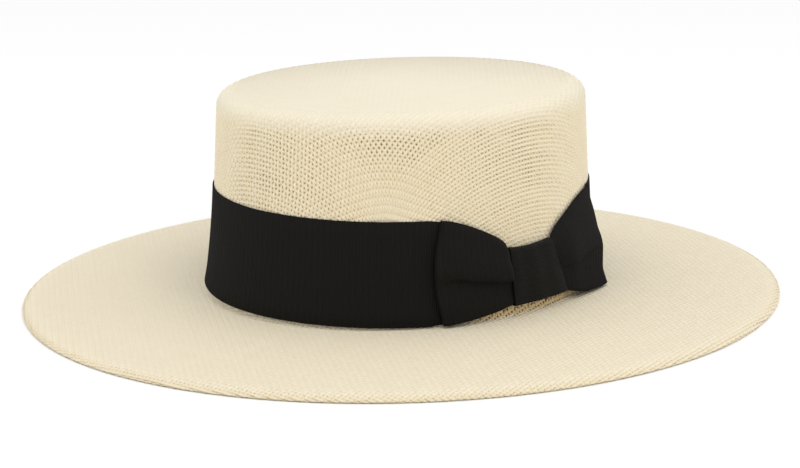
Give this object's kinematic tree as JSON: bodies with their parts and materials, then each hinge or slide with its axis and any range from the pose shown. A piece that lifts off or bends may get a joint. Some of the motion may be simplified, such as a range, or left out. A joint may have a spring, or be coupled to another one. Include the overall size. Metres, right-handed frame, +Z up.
{
  "type": "straw boater hat",
  "caption": "Woven straw boater: flat oval crown, wide level brim with a turned hem, black ribbon band and a flat tailored bow at the side.",
  "frame": {"origin": "on the surface that the brim's hem rests on, below the middle of the head opening", "axes": "+Z up through the crown, -Y towards the front of the hat, +X towards the wearer's left, where the bow is"},
  "size_m": [0.3522, 0.3858, 0.102],
  "materials": {
    "woven_straw": "natural ivory woven straw, matte",
    "black_ribbon": "black ribbed ribbon, matte"
  },
  "bodies": {
    "root": {"crown": "woven_straw", "brim": "woven_straw", "hat_band": "black_ribbon", "bow_front_loop": "black_ribbon", "bow_back_loop": "black_ribbon", "bow_knot": "black_ribbon"}
  },
  "joints": []
}
